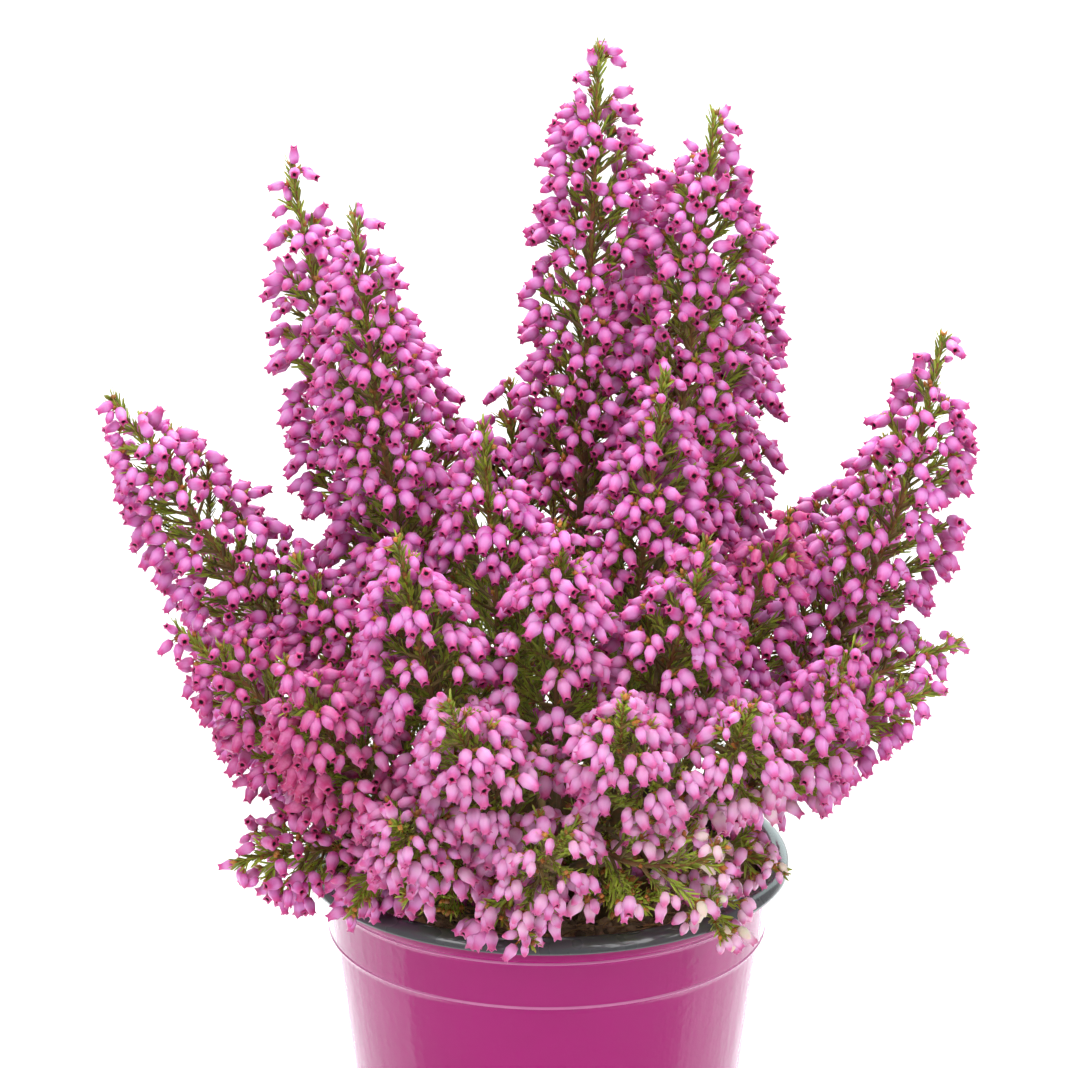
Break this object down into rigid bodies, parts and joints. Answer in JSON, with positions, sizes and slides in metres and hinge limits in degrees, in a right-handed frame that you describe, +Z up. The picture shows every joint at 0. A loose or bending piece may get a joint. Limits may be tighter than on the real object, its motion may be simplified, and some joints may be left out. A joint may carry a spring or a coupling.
{
  "type": "potted cape heath",
  "caption": "Bushy cape heath with upright, arching spires of bell-shaped florets, standing in compost in a round tapered plastic nursery pot with a rolled rim.",
  "frame": {"origin": "centre of the pot's flat underside, on the surface that it stands on", "axes": "+Z up along the pot's axis, +X to the right and -Y towards the viewer in the pictured view"},
  "size_m": [0.2193, 0.203, 0.314],
  "materials": {
    "pot_plastic": "gloss",
    "compost": "matte",
    "flower_stem": "matte",
    "leafy_shoot": "satin"
  },
  "bodies": {
    "root": {"pot": "pot_plastic", "soil": "compost", "flower_stem_back_foot": "flower_stem", "flower_stem_back_left": "flower_stem", "flower_stem_back_left_low": "flower_stem", "flower_stem_back_left_mid": "flower_stem", "flower_stem_back_left_tall": "flower_stem", "flower_stem_back_mid": "flower_stem", "flower_stem_back_right": "flower_stem", "flower_stem_back_right_low": "flower_stem", "flower_stem_back_right_mid": "flower_stem", "flower_stem_back_right_tall": "flower_stem", "flower_stem_back_tall": "flower_stem", "flower_stem_centre_back": "flower_stem", "flower_stem_centre_front": "flower_stem", "flower_stem_centre_small": "flower_stem", "flower_stem_centre_tall": "flower_stem", "flower_stem_far_left": "flower_stem", "flower_stem_far_right": "flower_stem", "flower_stem_front_foot": "flower_stem", "flower_stem_front_high": "flower_stem", "flower_stem_front_left_high": "flower_stem", "flower_stem_front_left_low": "flower_stem", "flower_stem_front_left_mid": "flower_stem", "flower_stem_front_low": "flower_stem", "flower_stem_front_right_high": "flower_stem", "flower_stem_front_right_low": "flower_stem", "flower_stem_front_right_mid": "flower_stem", "flower_stem_left_back_low": "flower_stem", "flower_stem_left_foot": "flower_stem", "flower_stem_left_front": "flower_stem", "flower_stem_left_front_foot": "flower_stem", "flower_stem_left_front_mid": "flower_stem", "flower_stem_left_low": "flower_stem", "flower_stem_left_mid": "flower_stem", "flower_stem_left_shoulder": "flower_stem", "flower_stem_left_tall": "flower_stem", "flower_stem_right_back_low": "flower_stem", "flower_stem_right_foot": "flower_stem", "flower_stem_right_front_foot": "flower_stem", "flower_stem_right_front_mid": "flower_stem", "flower_stem_right_front_side": "flower_stem", "flower_stem_right_low": "flower_stem", "flower_stem_right_mid": "flower_stem", "flower_stem_right_ridge": "flower_stem", "flower_stem_right_tall": "flower_stem", "leafy_shoot_front_left": "leafy_shoot", "leafy_shoot_front_right": "leafy_shoot"}
  },
  "joints": []
}
